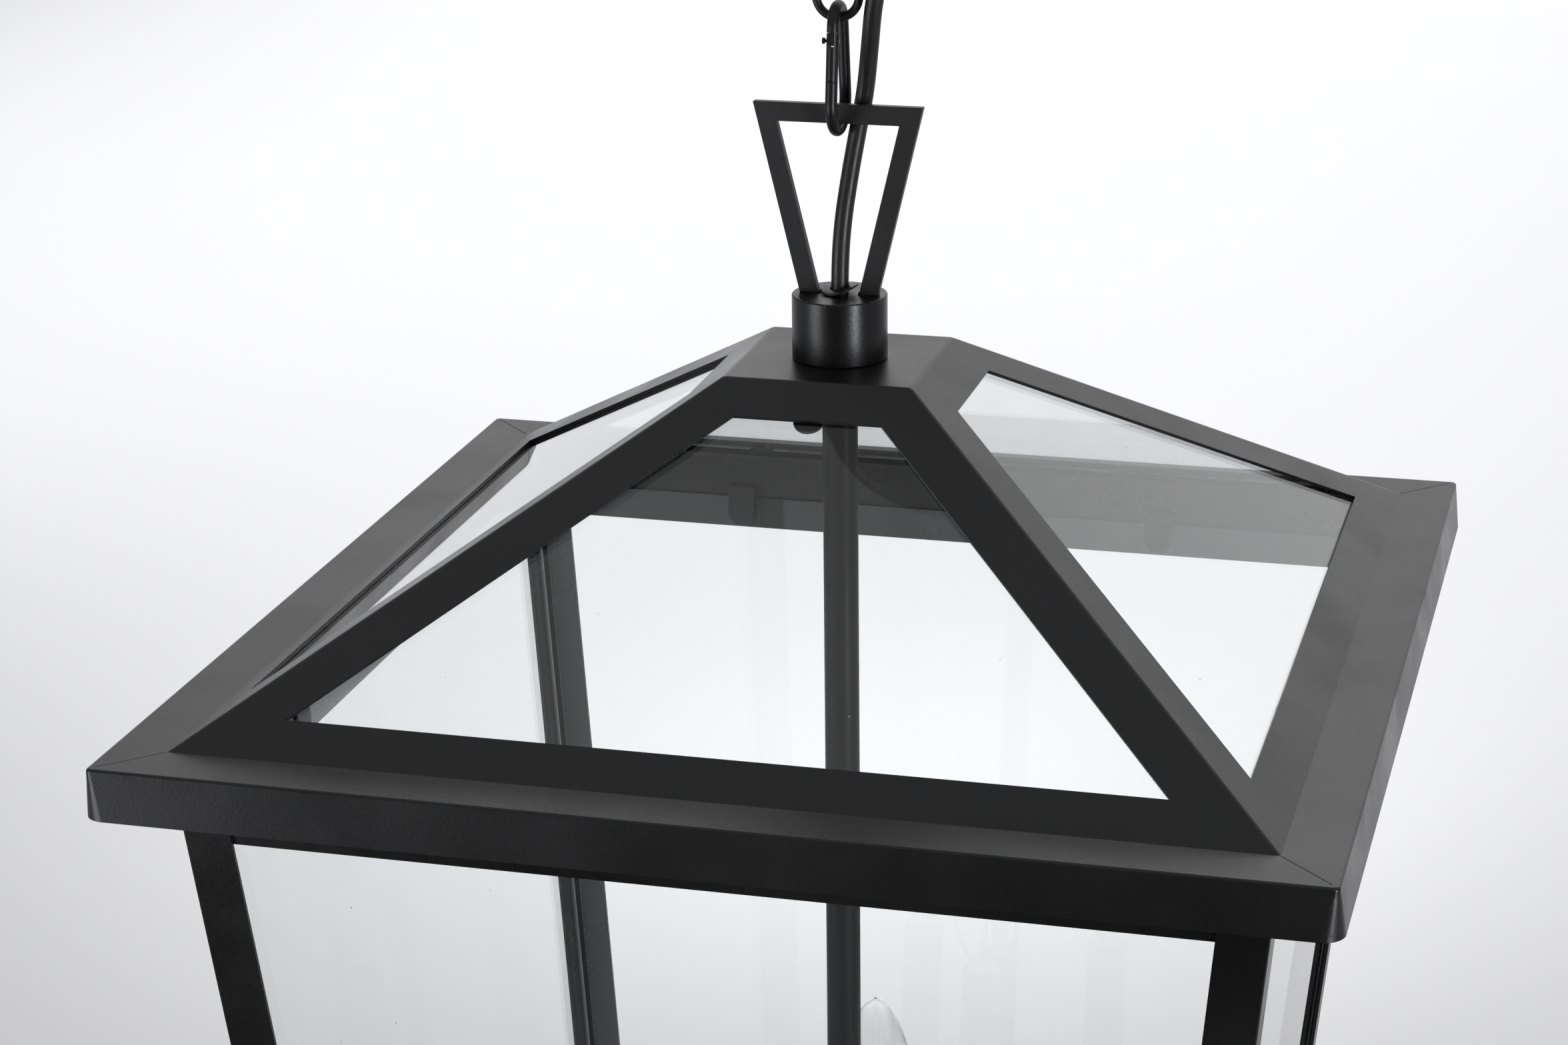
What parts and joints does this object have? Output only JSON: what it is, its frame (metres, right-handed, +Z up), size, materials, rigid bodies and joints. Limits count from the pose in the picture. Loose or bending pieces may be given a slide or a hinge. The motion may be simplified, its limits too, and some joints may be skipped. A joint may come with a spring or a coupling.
{
  "type": "hanging lantern",
  "caption": "Square tapering glass lantern with a hipped glazed roof, hung from a ceiling canopy by a chain and snap hook, candle lamps on a stem inside.",
  "frame": {"origin": "centre of the mounting bar's top face, in the plane of the ceiling", "axes": "+Z up, +Y towards the back of the lantern, +X to its right; the mounting bar's two slots lie along X"},
  "size_m": [0.4846, 0.4846, 0.8198],
  "materials": {
    "black_coat": "matt black powder coat",
    "black_steel": "satin black coated wire",
    "clear_glass": "clear float glass",
    "cable_sheath": "smooth black sheath",
    "rubber": "matt rubber",
    "zinc_steel": "zinc plated",
    "white_plastic": "moulded",
    "black_plastic": "moulded",
    "bulb_glass": "clear thin glass",
    "brass_base": "pressed lamp base",
    "filament": "coated filament sticks"
  },
  "bodies": {
    "ceiling_mount": {"mounting_bar": "zinc_steel", "bar_nipple": "zinc_steel", "bar_lock_nut": "zinc_steel", "ceiling_canopy": "black_coat", "terminal_block": "white_plastic", "canopy_cable_gland": "black_plastic", "screw_collar": "black_coat", "canopy_loop": "black_steel"},
    "chain_link_1": {"chain_link_1": "black_steel"},
    "chain_link_2": {"chain_link_2": "black_steel"},
    "snap_hook": {"snap_hook": "black_steel", "gate_rivet": "black_steel"},
    "hook_gate": {"hook_gate": "black_steel"},
    "lantern": {"bottom_rail_back": "black_coat", "bottom_rail_front": "black_coat", "bottom_rail_left": "black_coat", "bottom_rail_right": "black_coat", "bulb_bases": "brass_base", "bulb_filaments": "filament", "bulb_glass_1": "bulb_glass", "bulb_glass_2": "bulb_glass", "bulb_glass_3": "bulb_glass", "candle_sleeves": "black_plastic", "cluster_arms": "black_coat", "cluster_hub": "black_coat", "corner_post_back_left": "black_coat", "corner_post_back_right": "black_coat", "corner_post_front_left": "black_coat", "corner_post_front_right": "black_coat", "drip_cups": "black_coat", "eave_tray": "black_coat", "hanging_loop": "black_coat", "hub_grommet": "rubber", "hub_nipple": "zinc_steel", "lamp_stem": "black_coat", "lampholders": "white_plastic", "loop_hub": "black_coat", "lower_pane_clips": "black_coat", "roof_pane_back": "clear_glass", "roof_pane_clips": "black_coat", "roof_pane_front": "clear_glass", "roof_pane_left": "clear_glass", "roof_pane_right": "clear_glass", "roof_shell": "black_coat", "side_pane_back": "clear_glass", "side_pane_front": "clear_glass", "side_pane_left": "clear_glass", "side_pane_right": "clear_glass", "stem_finial": "black_coat", "stem_lock_nut": "zinc_steel", "supply_cable": "cable_sheath", "top_rail_back": "black_coat", "top_rail_front": "black_coat", "top_rail_left": "black_coat", "top_rail_right": "black_coat", "upper_pane_clips": "black_coat"}
  },
  "joints": [
    {"name": "link_1_swing", "type": "hinge", "parent": "ceiling_mount", "child": "chain_link_1", "pos_m": [0, 0, -0.0575], "axis": [1, 0, 0], "range_deg": [-20, 20], "deforming": ["supply_cable"]},
    {"name": "link_2_swing", "type": "hinge", "parent": "chain_link_1", "child": "chain_link_2", "pos_m": [0, 0, -0.08525], "axis": [0, 1, 0], "range_deg": [-20, 20], "deforming": ["supply_cable"]},
    {"name": "hook_swing", "type": "hinge", "parent": "chain_link_2", "child": "snap_hook", "pos_m": [0, 0, -0.1137], "axis": [1, 0, 0], "range_deg": [-20, 20], "deforming": ["supply_cable"]},
    {"name": "lantern_swing", "type": "hinge", "parent": "snap_hook", "child": "lantern", "pos_m": [0, 0, -0.16005], "axis": [0, 1, 0], "range_deg": [-15, 15], "deforming": ["supply_cable"]},
    {"name": "gate_hinge", "type": "hinge", "parent": "snap_hook", "child": "hook_gate", "pos_m": [0, -0.01063, -0.13675], "axis": [-1, 0, 0], "range_deg": [0, 25], "stiffness_Nm_per_rad": 0.15, "springref_deg": -20.05}
  ]
}
